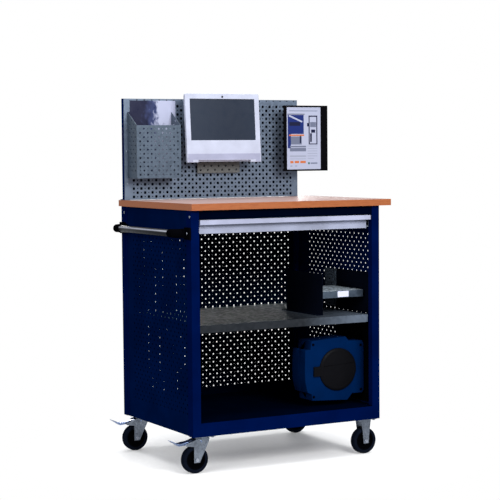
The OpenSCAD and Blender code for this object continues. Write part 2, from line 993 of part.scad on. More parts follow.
module tyre_rear_right() {
    at_wheel(fixed_places[1], 0) tyre();
}

// A pressed lever on its own cross pin, with a thin upturned tip.
module brake_pedal() {
    tip = reach - swivel_x;
    half = 18;
    pin_half = fork_in + fork_t + 1;
    color([0.62, 0.66, 0.72]) {
        translate([-pedal_in, -pin_half, pedal_z]) rotate([-90, 0, 0])
            cylinder(r = 4 - fit, h = 2 * pin_half);
        translate([0, -half, 0]) upright(2 * half)
            polygon([[-pedal_in + 4, pedal_z + 4], [-pedal_in + 4, pedal_z - 4],
                     [-pedal_in - 10, pedal_z - 7], [-124, 131], [-tip, 157],
                     [-tip, 159.5], [-124, 142], [-60, 150], [-pedal_in - 10, pedal_z + 5]]);
    }
}

module brake_pedal_front_left() {
    translate(swivel_places[0]) brake_pedal();
}

module brake_pedal_rear_left() {
    translate(swivel_places[1]) brake_pedal();
}

floor_pan();
base_rails();
front_posts();
rear_posts();
side_sheet_left();
side_sheet_right();
back_sheet();
top_rails();
worktop();
shelf();
shelf_rails();
frame_screws();
handle_tube();
handle_brackets();
handle_screws();
drawer_slide_rails();
drawer_slide_runners();
drawer_tray();
drawer_front();
drawer_grip_strip();
upper_sheet();
upper_back_sheet();
upper_uprights();
upper_screws();
pocket_back();
pocket_front();
screen_mount_plate();
screen_tilt_head();
screen_rear_cover();
screen_bezel();
screen_glass();
display_bracket();
display_frame();
display_page();
side_shelf();
shelf_dividers();
side_shelf_bracket();
reel_bracket();
reel_rear_shell();
reel_front_shell();
reel_cover();
reel_drum();
castor_plates();
castor_bolts();
fork_front_left();
fork_rear_left();
fixed_forks();
axle_front_left();
axle_rear_left();
fixed_axles();
hub_front_left();
hub_rear_left();
hub_front_right();
hub_rear_right();
tyre_front_left();
tyre_rear_left();
tyre_front_right();
tyre_rear_right();
brake_pedal_front_left();
brake_pedal_rear_left();
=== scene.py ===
"""Looks of the mobile workbench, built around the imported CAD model. Lengths are in metres."""
import json
import math

import bmesh
import bpy
from mathutils import Matrix, Vector


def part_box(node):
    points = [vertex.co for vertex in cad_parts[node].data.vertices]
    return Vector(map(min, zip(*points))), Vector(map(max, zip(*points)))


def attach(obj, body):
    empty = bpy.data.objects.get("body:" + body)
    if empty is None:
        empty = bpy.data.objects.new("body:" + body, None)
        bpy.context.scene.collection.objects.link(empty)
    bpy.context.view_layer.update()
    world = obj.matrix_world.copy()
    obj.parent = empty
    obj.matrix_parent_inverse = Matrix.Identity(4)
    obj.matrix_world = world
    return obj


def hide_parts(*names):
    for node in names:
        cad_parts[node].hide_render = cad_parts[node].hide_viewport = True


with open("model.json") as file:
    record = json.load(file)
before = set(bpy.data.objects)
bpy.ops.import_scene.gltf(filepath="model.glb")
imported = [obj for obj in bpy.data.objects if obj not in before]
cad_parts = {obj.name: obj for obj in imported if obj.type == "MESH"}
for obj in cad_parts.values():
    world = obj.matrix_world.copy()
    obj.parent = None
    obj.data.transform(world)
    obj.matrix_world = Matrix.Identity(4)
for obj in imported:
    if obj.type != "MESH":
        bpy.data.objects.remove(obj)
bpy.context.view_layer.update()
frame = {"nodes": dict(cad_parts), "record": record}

BODY_OF = {n: body for body, members in frame["record"]["behaviour"]["bodies"].items() for n in members}
SLOT_OF = {s["node"]: s["material_slot"] for s in frame["record"]["subparts"]}
MM = 0.001


# ---------------------------------------------------------------- camera

LENS_PER_WIDTH = 3.1156     # focal length over picture width
CAMERA_PLACE = Vector((-3.607, -6.556, 1.447))
CAMERA_YAW = math.radians(28.854)
CAMERA_TILT = math.radians(-3.5935)
CAMERA_ROLL = math.radians(-0.4753)


def make_camera():
    camera = bpy.data.objects.new("camera", bpy.data.cameras.new("camera"))
    bpy.context.scene.collection.objects.link(camera)
    camera.data.sensor_width = 36
    camera.data.lens = LENS_PER_WIDTH * camera.data.sensor_width
    camera.data.clip_start = 0.1
    camera.data.clip_end = 100
    turn = Matrix.Rotation(-CAMERA_YAW, 4, "Z") @ Matrix.Rotation(math.pi / 2 + CAMERA_TILT, 4, "X")
    turn = turn @ Matrix.Rotation(CAMERA_ROLL, 4, "Z")
    camera.matrix_world = Matrix.Translation(CAMERA_PLACE) @ turn
    bpy.context.scene.camera = camera


make_camera()


# ---------------------------------------------------------------- materials

def srgb(red, green, blue):
    """An 8-bit screen colour as linear RGBA."""
    def linear(v):
        v /= 255
        return v / 12.92 if v <= 0.04045 else ((v + 0.055) / 1.055) ** 2.4
    return (linear(red), linear(green), linear(blue), 1)


def shade(colour, factor):
    return tuple(min(1, c * factor) for c in colour[:3]) + (1,)


class Surface:
    """A Principled material with helpers for its procedural textures."""

    def __init__(self, name, roughness=0.5, metallic=0.0, specular=0.5, coat=0.0, coat_roughness=0.1):
        self.mat = bpy.data.materials.new(name)
        self.mat.use_nodes = True
        self.tree = self.mat.node_tree
        self.shader = self.tree.nodes["Principled BSDF"]
        self.set("Roughness", roughness)
        self.set("Metallic", metallic)
        self.set("Specular IOR Level", specular)
        self.set("Coat Weight", coat)
        self.set("Coat Roughness", coat_roughness)
        self.place = self.node("ShaderNodeTexCoord").outputs["Object"]

    def node(self, kind, **inputs):
        made = self.tree.nodes.new(kind)
        for key, value in inputs.items():
            made.inputs[key.replace("_", " ")].default_value = value
        return made

    def set(self, socket, value):
        self.shader.inputs[socket].default_value = value

    def link(self, source, target):
        self.tree.links.new(source, target)

    def stretched(self, scale):
        mapping = self.node("ShaderNodeMapping", Scale=scale)
        self.link(self.place, mapping.inputs["Vector"])
        return mapping.outputs["Vector"]

    def noise(self, scale, detail=3.0, roughness=0.5, vector=None):
        made = self.node("ShaderNodeTexNoise", Scale=scale, Detail=detail, Roughness=roughness)
        self.link(vector or self.place, made.inputs["Vector"])
        return made.outputs["Fac"]

    def cells(self, scale):
        made = self.node("ShaderNodeTexVoronoi", Scale=scale)
        self.link(self.place, made.inputs["Vector"])
        to_grey = self.node("ShaderNodeRGBToBW")
        self.link(made.outputs["Color"], to_grey.inputs["Color"])
        return to_grey.outputs["Val"]

    def ramp(self, factor, *stops):
        made = self.node("ShaderNodeValToRGB")
        points = made.color_ramp.elements
        while len(points) < len(stops):
            points.new(0.5)
        for point, (where, colour) in zip(points, stops):
            point.position = where
            point.color = colour if isinstance(colour, tuple) else (colour, colour, colour, 1)
        self.link(factor, made.inputs["Fac"])
        return made.outputs["Color"]

    def mix(self, factor, one, two):
        made = self.node("ShaderNodeMix")
        made.data_type = "RGBA"
        for value, socket in ((factor, made.inputs[0]), (one, made.inputs[6]), (two, made.inputs[7])):
            if isinstance(value, (tuple, float, int)):
                socket.default_value = value
            else:
                self.link(value, socket)
        return made.outputs[2]

    def worn_edges(self, colour, worn, width=1.2 * MM):
        """Lightens the edges, where paint or plating rubs thin."""
        rounded = self.node("ShaderNodeBevel", Radius=width)
        rounded.samples = 4
        turned = self.node("ShaderNodeVectorMath")
        turned.operation = "DOT_PRODUCT"
        self.link(rounded.outputs["Normal"], turned.inputs[0])
        self.link(self.node("ShaderNodeNewGeometry").outputs["Normal"], turned.inputs[1])
        edge = self.ramp(turned.outputs["Value"], (0.90, 1.0), (0.985, 0.0))
        broken = self.ramp(self.noise(60, 4), (0.42, 0.0), (0.62, 1.0))
        both = self.node("ShaderNodeMath")
        both.operation = "MULTIPLY"
        self.link(edge, both.inputs[0])
        self.link(broken, both.inputs[1])
        return self.mix(both.outputs["Value"], colour, worn)

    def along(self, axis, low, high):
        """0 at low and 1 at high along one axis of the bench."""
        parts = self.node("ShaderNodeSeparateXYZ")
        self.link(self.place, parts.inputs["Vector"])
        span = self.node("ShaderNodeMapRange", From_Min=low, From_Max=high)
        self.link(parts.outputs[axis], span.inputs["Value"])
        return span.outputs["Result"]

    def bump(self, height, strength, distance):
        made = self.node("ShaderNodeBump", Strength=strength, Distance=distance)
        self.link(height, made.inputs["Height"])
        before = self.shader.inputs["Normal"].links
        if before:
            self.link(before[0].from_socket, made.inputs["Normal"])
        self.link(made.outputs["Normal"], self.shader.inputs["Normal"])

    def colour(self, source):
        self.link(source, self.shader.inputs["Base Color"])

    def rough(self, factor, low, high):
        self.link(self.ramp(factor, (0.3, low), (0.7, high)), self.shader.inputs["Roughness"])


BLACK = (0, 0, 0, 1)
# Spans along X of painted light: the painted shade on the shelf's top, and the painted reflection on the
# pocket's back plate.
SHADE_OF_SHELF = (0.10, 0.44)           # X over which the shelf's top turns from dark to light
SHADE_OF_PLATE = (-0.52, -0.10)         # X over which the pocket's back plate does the same


def powder_coat(name, colour, worn, roughness, specular):
    """Powder coated steel: orange-peel skin, faint clouds, thin rubbed edges."""
    s = Surface(name, roughness=roughness, specular=specular)
    clouds = s.ramp(s.noise(7, 4), (0.35, shade(colour, 0.86)), (0.65, shade(colour, 1.14)))
    s.colour(s.worn_edges(clouds, worn))
    s.rough(s.noise(22, 5), roughness - 0.06, roughness + 0.08)
    s.bump(s.noise(1400, 2), 0.12, 0.0004)
    s.bump(s.noise(9, 1), 0.06, 0.003)
    return s.mat


def galvanised_steel(name, colour, roughness=0.42, spangle=70, painted_shade_left=1.0):
    """Hot-dip galvanised sheet with its crystal spangle and, if asked, painted shade that darkens it
    towards the left.
    """
    s = Surface(name, metallic=0.45)
    crystals = s.cells(spangle)
    fine = s.noise(320, 3)
    base = s.ramp(crystals, (0.15, shade(colour, 0.93)), (0.85, shade(colour, 1.07)))
    base = s.mix(s.ramp(fine, (0.4, 0.0), (0.75, 0.5)), base, shade(colour, 0.88))
    if painted_shade_left < 1:
        shaded = s.mix(1.0 - painted_shade_left, base, BLACK)
        base = s.mix(s.along("X", *SHADE_OF_SHELF), shaded, base)
    s.colour(base)
    s.rough(crystals, roughness - 0.08, roughness + 0.12)
    s.bump(crystals, 0.05, 0.0006)
    return s.mat


def polished_tube(name):
    """A dark tube with a light streak painted along its upper side, as a polished one shows."""
    s = Surface(name, roughness=0.3, specular=0.1)
    parts = s.node("ShaderNodeSeparateXYZ")
    s.link(s.node("ShaderNodeNewGeometry").outputs["Normal"], parts.inputs["Vector"])
    streak = s.ramp(parts.outputs["Z"], (0.20, 0.01), (0.42, 0.34), (0.60, 0.40), (0.74, 0.04),
                    (1.0, 0.01))
    drawn = s.noise(18, 3, 0.5, s.stretched((1.0, 0.2, 1.0)))
    tint = s.ramp(drawn, (0.3, srgb(200, 204, 222)), (0.7, srgb(232, 234, 246)))
    s.colour(s.mix(streak, srgb(9, 9, 10), tint))
    s.rough(s.noise(50, 3), 0.25, 0.35)
    s.bump(s.noise(900, 2), 0.04, 0.0002)
    return s.mat


def reflecting_plate(name):
    """A plate painted from dark at its left to light at its right, as a bright one mirrors."""
    s = Surface(name, metallic=0.2, specular=0.3)
    streaks = s.noise(26, 4, 0.6, s.stretched((1.0, 1.0, 0.7)))
    shift = s.node("ShaderNodeMath")
    shift.operation = "MULTIPLY_ADD"
    shift.inputs[1].default_value = 0.45
    s.link(streaks, shift.inputs[0])
    s.link(s.along("X", *SHADE_OF_PLATE), shift.inputs[2])
    s.colour(s.ramp(shift.outputs["Value"], (0.52, srgb(14, 18, 48)), (0.64, srgb(44, 54, 94)),
                    (0.70, srgb(166, 170, 194))))
    s.rough(streaks, 0.25, 0.4)
    s.bump(s.noise(300, 2), 0.04, 0.0003)
    return s.mat


def plated_zinc(name, colour, roughness=0.28):
    s = Surface(name, metallic=1.0)
    clouds = s.ramp(s.noise(45, 5), (0.3, shade(colour, 0.80)), (0.7, shade(colour, 1.12)))
    s.colour(s.worn_edges(clouds, shade(colour, 1.5)))
    s.rough(s.noise(90, 4), roughness - 0.08, roughness + 0.14)
    s.bump(s.noise(600, 2), 0.08, 0.0003)
    return s.mat


def moulded_plastic(name, colour, roughness, specular=0.4, grain=1800, grain_depth=0.10):
    s = Surface(name, specular=specular)
    clouds = s.ramp(s.noise(12, 4), (0.3, shade(colour, 0.9)), (0.7, shade(colour, 1.1)))
    s.colour(s.worn_edges(clouds, shade(colour, 1.5)))
    s.rough(s.noise(50, 4), roughness - 0.05, roughness + 0.07)
    s.bump(s.noise(grain, 2), grain_depth, 0.0003)
    return s.mat


def beech(name, light, dark, layered):
    """Lacquered beech; a layered edge shows the plies of the board."""
    s = Surface(name, roughness=0.42, specular=0.35, coat=0.12, coat_roughness=0.25)
    grain = s.noise(34, 6, 0.62, s.stretched((0.55, 7.0, 7.0)))
    flecks = s.noise(210, 2, 0.5, s.stretched((0.25, 2.6, 2.6)))
    wood = s.ramp(grain, (0.30, dark), (0.52, shade(light, 0.94)), (0.72, light))
    wood = s.mix(s.ramp(flecks, (0.56, 0.0), (0.72, 0.45)), wood, shade(dark, 0.75))
    if layered:
        wave = s.node("ShaderNodeTexWave", Scale=105.0, Distortion=0.6, Detail=2.0)
        wave.bands_direction = "Z"
        s.link(s.place, wave.inputs["Vector"])
        plies = s.ramp(wave.outputs["Fac"], (0.25, 0.0), (0.75, 0.32))
        wood = s.mix(plies, wood, shade(dark, 0.72))
    s.colour(wood)
    s.rough(grain, 0.36, 0.5)
    s.bump(grain, 0.10, 0.0008)
    return s.mat


def rubber(name, colour):
    s = Surface(name, specular=0.0)
    clouds = s.ramp(s.noise(30, 5), (0.3, shade(colour, 0.8)), (0.7, shade(colour, 1.2)))
    dust = s.ramp(s.noise(14, 6, 0.7), (0.52, 0.0), (0.8, 0.12))
    s.colour(s.mix(dust, clouds, srgb(40, 42, 48)))
    s.rough(s.noise(60, 3), 0.55, 0.75)
    s.bump(s.noise(900, 3), 0.15, 0.0004)
    return s.mat


def display_glass(name, low, high):
    """A dark panel under a clear front: a faint diagonal painted sheen in its colour, and a very fine
    grid.
    """
    s = Surface(name, specular=0.2, coat=0.15, coat_roughness=0.06)
    # Painted sheen: the colour runs lighter and darker in broad diagonal bands.
    painted_sheen = s.noise(2.2, 1, 0.4, s.stretched((1.0, 1.0, 0.6)))
    s.colour(s.ramp(painted_sheen, (0.30, low), (0.70, high)))
    s.rough(s.noise(40, 3), 0.30, 0.40)
    s.bump(s.noise(2500, 1), 0.03, 0.0001)
    return s.mat


def paper(name, colour):
    s = Surface(name, specular=0.15, coat=0.08, coat_roughness=0.12)
    fibres = s.noise(900, 4)
    s.colour(s.ramp(fibres, (0.3, shade(colour, 0.95)), (0.7, shade(colour, 1.03))))
    s.rough(fibres, 0.55, 0.7)
    s.bump(fibres, 0.05, 0.0002)
    return s.mat


BLUE = srgb(0, 13, 57)
# The side sheets' own copy of the blue coat, its colour set for how light falls on the cabinet's sides:
# painted light.
SIDE_LIT_BLUE = srgb(0, 16, 54)
# A darker copy of the blue coat: painted shade for parts inside the cabinet and under the worktop.
PAINTED_SHADE_BLUE = srgb(0, 4, 20)
STEEL_BLUE = powder_coat("steel_blue", BLUE, shade(BLUE, 1.5), 0.52, 0.0)
SIDE_LIT_COAT = powder_coat("side_lit_coat", SIDE_LIT_BLUE, shade(SIDE_LIT_BLUE, 1.5), 0.55, 0.0)
PAINTED_SHADE_COAT = powder_coat("painted_shade_coat", PAINTED_SHADE_BLUE, shade(PAINTED_SHADE_BLUE, 1.5), 0.6, 0.0)
GALVANISED = galvanised_steel("galvanised", srgb(95, 108, 126))
POCKET_STEEL = galvanised_steel("pocket_steel", srgb(72, 85, 100))
# A far lighter copy of the galvanised steel: painted light on the upward faces of the side shelf.
PAINTED_LIGHT_STEEL = galvanised_steel("painted_light_steel", srgb(222, 238, 255), 0.30)
# The shelf's top carries painted shade, darker towards the left.
SHELF_STEEL = galvanised_steel("shelf_steel", srgb(102, 114, 130), 0.36, painted_shade_left=0.10)
# A darker copy of the galvanised steel: painted shade on the side shelf's bracket.
PAINTED_SHADE_STEEL = galvanised_steel("painted_shade_steel", srgb(84, 94, 106), 0.48)
MOUNT_STEEL = galvanised_steel("mount_steel", srgb(92, 93, 92), 0.48)
ZINC = plated_zinc("zinc", srgb(132, 140, 152))
SCREW_ZINC = plated_zinc("screw_zinc", srgb(168, 174, 186), 0.26)
BEECH_TOP = beech("beech_top", srgb(156, 130, 124), srgb(134, 102, 92), False)
BEECH_EDGE = beech("beech_edge", srgb(166, 94, 48), srgb(138, 70, 32), True)
DRAWER_GREY = powder_coat("drawer_grey", srgb(150, 155, 176), srgb(190, 192, 200), 0.42, 0.25)
STRIP_WHITE = powder_coat("strip_white", srgb(160, 164, 187), srgb(200, 202, 212), 0.36, 0.3)
BLACK_PLASTIC = moulded_plastic("black_plastic", srgb(4, 4, 6), 0.45, 0.0)
GLOSS_BLACK = moulded_plastic("gloss_black", srgb(6, 6, 8), 0.35, 0.02)
WHITE_PLASTIC = moulded_plastic("white_plastic", srgb(170, 175, 193), 0.32, 0.2, 2400, 0.04)
# A darker copy of the white plastic: painted shade where the screen's chin slopes back.
CHIN_SHADE_PLASTIC = moulded_plastic("chin_shade_plastic", srgb(144, 147, 170), 0.34, 0.25, 2400, 0.04)
GLASS = display_glass("screen_panel", srgb(24, 33, 48), srgb(31, 41, 57))
PAGE = paper("page_white", srgb(156, 161, 182))
LABEL = paper("label_white", srgb(220, 222, 246))
PRINT_BLUE = paper("print_blue", srgb(16, 34, 96))
PRINT_NAVY = paper("print_navy", srgb(10, 16, 48))
PRINT_GREY = paper("print_grey", srgb(96, 102, 122))
PRINT_PALE = paper("print_pale", srgb(138, 143, 160))
PRINT_ORANGE = paper("print_orange", srgb(178, 96, 50))
PRINT_GREEN = paper("print_green", srgb(18, 84, 68))
NAVY = powder_coat("navy_paint", srgb(7, 11, 22), srgb(20, 24, 40), 0.45, 0.0)
REEL_BLUE = moulded_plastic("reel_blue", srgb(0, 28, 70), 0.42, 0.01)
PLATE = reflecting_plate("reflecting_plate")
TUBE = polished_tube("polished_tube")
PEDAL = plated_zinc("pedal_zinc", srgb(140, 158, 196), 0.20)
LID_BLACK = moulded_plastic("lid_black", srgb(13, 13, 16), 0.4, 0.03)
TYRE = rubber("tyre_rubber", srgb(13, 17, 27))

SLOT_LOOKS = {
    "blue_paint": STEEL_BLUE, "galvanised": GALVANISED, "zinc": ZINC, "beech": BEECH_TOP,
    "drawer_paint": DRAWER_GREY, "black_plastic": BLACK_PLASTIC, "white_plastic": WHITE_PLASTIC,
    "screen_glass": GLASS, "page": PAGE, "navy_paint": NAVY, "reel_blue": REEL_BLUE,
    "tyre_rubber": TYRE,
}
for name, obj in frame["nodes"].items():
    obj.data.materials.clear()
    obj.data.materials.append(SLOT_LOOKS[SLOT_OF[name]])


# ---------------------------------------------------------------- mesh tools

def piece(name, mesh, body, replaced=(), angle=35):
    """Puts a finished mesh in the scene, riding on a CAD body."""
    obj = bpy.data.objects.new(name, mesh)
    bpy.context.scene.collection.objects.link(obj)
    for polygon in mesh.polygons:
        polygon.use_smooth = True
    mesh.set_sharp_from_angle(angle=math.radians(angle))
    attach(obj, body)
    if replaced:
        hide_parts(*replaced)
    return obj


def mesh_of(bm, name, *materials):
    bmesh.ops.recalc_face_normals(bm, faces=bm.faces)
    mesh = bpy.data.meshes.new(name)
    bm.to_mesh(mesh)
    bm.free()
    for m in materials:
        mesh.materials.append(m)
    return mesh


def round_edges(bm, width, segments=2, angle=30):
    """Rounds every edge that is sharper than angle."""
    limit = math.radians(angle)
    edges = [e for e in bm.edges if len(e.link_faces) == 2 and e.calc_face_angle(0) > limit]
    bmesh.ops.bevel(bm, geom=edges, offset=width, segments=segments, profile=0.5,
                    affect="EDGES", clamp_overlap=True)


def add_box(bm, low, high, material=0, matrix=Matrix.Identity(4)):
    spans = list(zip(low, high))
    corners = [Vector((x, y, z)) for x in spans[0] for y in spans[1] for z in spans[2]]
    v = [bm.verts.new(matrix @ c) for c in corners]
    for ring in ((0, 1, 3, 2), (4, 6, 7, 5), (0, 4, 5, 1), (2, 3, 7, 6), (0, 2, 6, 4), (1, 5, 7, 3)):
        bm.faces.new([v[i] for i in ring]).material_index = material


def add_lathe(bm, profile, centre, axis, steps=48, material=0, closed=True):
    """Turns (radius, height) points about an axis through centre. Height runs along the axis."""
    axis = Vector(axis).normalized()
    side = axis.orthogonal().normalized()
    third = axis.cross(side)
    turns = [2 * math.pi * i / steps for i in range(steps)]
    spokes = [side * math.cos(t) + third * math.sin(t) for t in turns]
    rings = []
    for radius, height in profile:
        base = Vector(centre) + axis * height
        if radius < 1e-7:
            rings.append([bm.verts.new(base)])
            continue
        rings.append([bm.verts.new(base + spoke * radius) for spoke in spokes])
    pairs = list(zip(rings, rings[1:]))
    if closed and len(rings[0]) > 1 and len(rings[-1]) > 1:
        pairs.append((rings[-1], rings[0]))
    for one, two in pairs:
        for i in range(steps):
            j = (i + 1) % steps
            corners = [one[i % len(one)], one[j % len(one)], two[j % len(two)], two[i % len(two)]]
            corners = list(dict.fromkeys(corners))    # a ring of one point makes triangles
            if len(corners) > 2:
                bm.faces.new(corners).material_index = material


def soften(node, width=0.6 * MM, segments=2, look=None):
    """A copy of a CAD node with its sharp edges rounded, shown in its place."""
    bm = bmesh.new()
    bm.from_mesh(frame["nodes"][node].data)
    bmesh.ops.remove_doubles(bm, verts=bm.verts, dist=1e-6)
    bmesh.ops.dissolve_limit(bm, angle_limit=math.radians(0.6), verts=bm.verts, edges=bm.edges)
    mesh = mesh_of(bm, node + "_finished", look or SLOT_LOOKS[SLOT_OF[node]])
    obj = piece(node + "_finished", mesh, BODY_OF[node], [node])
    bevel = obj.modifiers.new("edges", "BEVEL")
    bevel.width = width
    bevel.segments = segments
    bevel.limit_method = "ANGLE"
    bevel.angle_limit = math.radians(38)
    return obj


# ---------------------------------------------------------------- perforated sheets

PITCH = 20 * MM


def square_hole(width, steps=16, power=5.0):
    """A square hole with round corners, from its lower left corner round to the left."""
    points = []
    for i in range(steps):
        t = math.radians(-135) + 2 * math.pi * i / steps
        c, s = math.cos(t), math.sin(t)
        r = width / 2 / (abs(c) ** power + abs(s) ** power) ** (1 / power)
        points.append((c * r, s * r))
    return points


def round_hole(width, steps=8):
    turns = [math.radians(-135) + 2 * math.pi * i / steps for i in range(steps)]
    return [(math.cos(t) * width / 2, math.sin(t) * width / 2) for t in turns]


def perforated(node, across, first, columns, rows, look, holes):
    """Rebuilds a CAD sheet with its hook holes and the small holes between them.

    across is the axis that the columns run along, 0 for X and 1 for Y; first is the place
    of the lowest hole of the first column; holes are the widths of its two kinds of hole.
    """
    low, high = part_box(node)
    deep = 1 - across
    outlines = (square_hole(holes[0]), round_hole(holes[1]))
    cells_u = [first[0] + (i - 0.5) * PITCH for i in range(columns + 1)]
    cells_w = [first[1] + (i - 0.5) * PITCH for i in range(rows + 1)]
    breaks_u = [low[across]] + cells_u + [high[across]]
    breaks_w = [low[2]] + cells_w + [high[2]]
    verts, faces = [], []

    def vert(u, w, back):
        place = [0, 0, w]
        place[across] = u
        place[deep] = high[deep] if back else low[deep]
        verts.append(place)
        return len(verts) - 1

    grid = [[[vert(u, w, back) for w in breaks_w] for u in breaks_u] for back in (0, 1)]
    for i in range(len(breaks_u) - 1):
        for j in range(len(breaks_w) - 1):
            corners = [[g[i][j], g[i + 1][j], g[i + 1][j + 1], g[i][j + 1]] for g in grid]
            if not (0 < i <= columns and 0 < j <= rows):
                faces.extend(corners)
                continue
            outline = outlines[(i + j) % 2]
            u = first[0] + (i - 1) * PITCH
            w = first[1] + (j - 1) * PITCH
            rings = [[vert(u + x, w + y, back) for x, y in outline] for back in (0, 1)]
            count = len(outline)
            part = count // 4
            for ring, four in zip(rings, corners):
                for side in range(4):
                    inner = [ring[k % count] for k in range(side * part, (side + 1) * part + 1)]
                    faces.append([four[side], four[(side + 1) % 4]] + inner[::-1])
            for k in range(count):
                n = (k + 1) % count
                faces.append([rings[0][k], rings[0][n], rings[1][n], rings[1][k]])
    front, back = grid
    last_u = len(breaks_u) - 1
    last_w = len(breaks_w) - 1
    for i in range(last_u):
        for j in (0, last_w):
            faces.append([front[i][j], front[i + 1][j], back[i + 1][j], back[i][j]])
    for j in range(last_w):
        for i in (0, last_u):
            faces.append([front[i][j], front[i][j + 1], back[i][j + 1], back[i][j]])
    bm = bmesh.new()
    mesh = bpy.data.meshes.new(node)
    mesh.from_pydata(verts, [], faces)
    bm.from_mesh(mesh)
    bpy.data.meshes.remove(mesh)
    name = node + "_holes"
    return piece(name, mesh_of(bm, name, look), BODY_OF[node], [node], 20)


X, Y = 0, 1
SIDE_FIELD = (-307 * MM, 270 * MM)
BACK_FIELD = (-450 * MM, 275 * MM)
UPPER_FIELD = (-450 * MM, 1235 * MM)
SIDE_COLUMNS, SIDE_ROWS = 29, 40
WIDE_COLUMNS, BACK_ROWS, UPPER_ROWS = 45, 44, 23
PAINTED_HOLES = (7.0 * MM, 1.8 * MM)
SIDE_HOLES = (9.4 * MM, 3.8 * MM)
BARE_HOLES = (13.0 * MM, 6.8 * MM)
perforated("side_sheet_left", Y, SIDE_FIELD, SIDE_COLUMNS, SIDE_ROWS, SIDE_LIT_COAT, SIDE_HOLES)
perforated("side_sheet_right", Y, SIDE_FIELD, SIDE_COLUMNS, SIDE_ROWS, SIDE_LIT_COAT, PAINTED_HOLES)
# The back sheet takes the darker coat: painted shade inside the cabinet.
perforated("back_sheet", X, BACK_FIELD, WIDE_COLUMNS, BACK_ROWS, PAINTED_SHADE_COAT, PAINTED_HOLES)
perforated("upper_sheet", X, UPPER_FIELD, WIDE_COLUMNS, UPPER_ROWS, GALVANISED, BARE_HOLES)


# ---------------------------------------------------------------- cabinet

def soften_all(nodes, width, look=None, segments=2):
    for node in nodes:
        soften(node, width, segments, look)


soften_all(["base_rails", "front_posts", "rear_posts", "upper_uprights", "drawer_tray",
            "drawer_front", "drawer_slide_rails", "drawer_slide_runners", "display_bracket",
            "shelf_dividers"], 0.5 * MM)
# Painted shade on these rails and on the upper box's back sheet.
soften_all(["shelf_rails", "upper_back_sheet", "top_rails"], 0.5 * MM, PAINTED_SHADE_COAT)


def upward_faces(obj, look):
    """Gives the faces that look up a look of their own."""
    obj.data.materials.append(look)
    for face in obj.data.polygons:
        if face.normal.z > 0.9:
            face.material_index = 1


# The floor pan's upward faces take painted shade.
upward_faces(soften("floor_pan", 0.5 * MM), PAINTED_SHADE_COAT)
soften("shelf", 0.5 * MM, 2, SHELF_STEEL)
# The side shelf's upward faces take painted light; the rest keeps the darker steel.
upward_faces(soften("side_shelf", 0.4 * MM, 2, POCKET_STEEL), PAINTED_LIGHT_STEEL)
# The bracket under the side shelf takes painted shade.
soften("side_shelf_bracket", 0.3 * MM, 2, PAINTED_SHADE_STEEL)
soften("pocket_front", 0.2 * MM, 1, POCKET_STEEL)
soften("pocket_back", 0.3 * MM, 2, PLATE)
soften("screen_mount_plate", 0.3 * MM, 2, MOUNT_STEEL)
soften("drawer_grip_strip", 0.8 * MM, 3, STRIP_WHITE)


def islands(node):
    """The box of each separate solid of a CAD node, as (low, high) corners."""
    bm = bmesh.new()
    bm.from_mesh(frame["nodes"][node].data)
    bmesh.ops.remove_doubles(bm, verts=bm.verts, dist=1e-6)
    seen = set()
    boxes = []
    for start in bm.verts:
        if start in seen:
            continue
        group = [start]
        seen.add(start)
        for v in group:
            for e in v.link_edges:
                other = e.other_vert(v)
                if other not in seen:
                    seen.add(other)
                    group.append(other)
        low = Vector([min(v.co[i] for v in group) for i in range(3)])
        high = Vector([max(v.co[i] for v in group) for i in range(3)])
        boxes.append((low, high))
    bm.free()
    return boxes


def screw_heads(node, axis, side, radius):
    """Turned heads with a round socket in place of the plain discs of a screw node.

    side is -1 or 1 along the axis, or 0 where each head points away from the middle.
    """
    bm = bmesh.new()
    for low, high in islands(node):
        middle = (low + high) / 2
        sign = side if side else (1 if middle[axis] > 0 else -1)
        direction = Vector([sign if i == axis else 0 for i in range(3)])
        depth = high[axis] - low[axis]
        base = middle - direction * depth / 2
        profile = [(radius, 0), (radius, depth * 0.55), (radius * 0.85, depth * 0.9),
                   (radius * 0.62, depth), (radius * 0.45, depth)]
        add_lathe(bm, profile, base, direction, 24, closed=False)
        # The socket's inside is black: painted shade in the recess.
        socket = [(radius * 0.45, depth), (radius * 0.42, depth * 0.4), (0, depth * 0.4)]
        add_lathe(bm, socket, base, direction, 24, 1, closed=False)
    mesh = mesh_of(bm, node + "_turned", SCREW_ZINC, GLOSS_BLACK)
    piece(node + "_turned", mesh, BODY_OF[node], [node])


HEAD_RADIUS = 6 * MM
screw_heads("frame_screws", X, 0, HEAD_RADIUS)
screw_heads("handle_screws", X, -1, HEAD_RADIUS)


def worktop():
    """The board with rounded edges; its top and its layered edges have their own look."""
    low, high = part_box("worktop")
    bm = bmesh.new()
    add_box(bm, low, high)
    round_edges(bm, 2.5 * MM, 3)
    for face in bm.faces:
        face.material_index = 0 if abs(face.normal.z) > 0.9 else 1
    mesh = mesh_of(bm, "worktop_board", BEECH_TOP, BEECH_EDGE)
    piece("worktop_board", mesh, "cabinet", ["worktop"])


worktop()


def handle():
    """The tube with its domed ends, and the two brackets with softer edges."""
    low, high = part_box("handle_tube")
    radius = (high[0] - low[0]) / 2
    centre = ((low[0] + high[0]) / 2, low[1], (low[2] + high[2]) / 2)
    length = high[1] - low[1]
    turns = [t * math.pi / 12 for t in range(1, 7)]
    dome = [(0, 0)] + [(radius * math.sin(t), 0.3 * radius * (1 - math.cos(t))) for t in turns]
    profile = dome + [(r, length - h) for r, h in reversed(dome)]
    bm = bmesh.new()
    add_lathe(bm, profile, centre, (0, 1, 0), 48, closed=False)
    mesh = mesh_of(bm, "handle_bar", TUBE)
    piece("handle_bar", mesh, "cabinet", ["handle_tube"])
    soften("handle_brackets", 3 * MM, 3)


handle()


# ---------------------------------------------------------------- upper panel

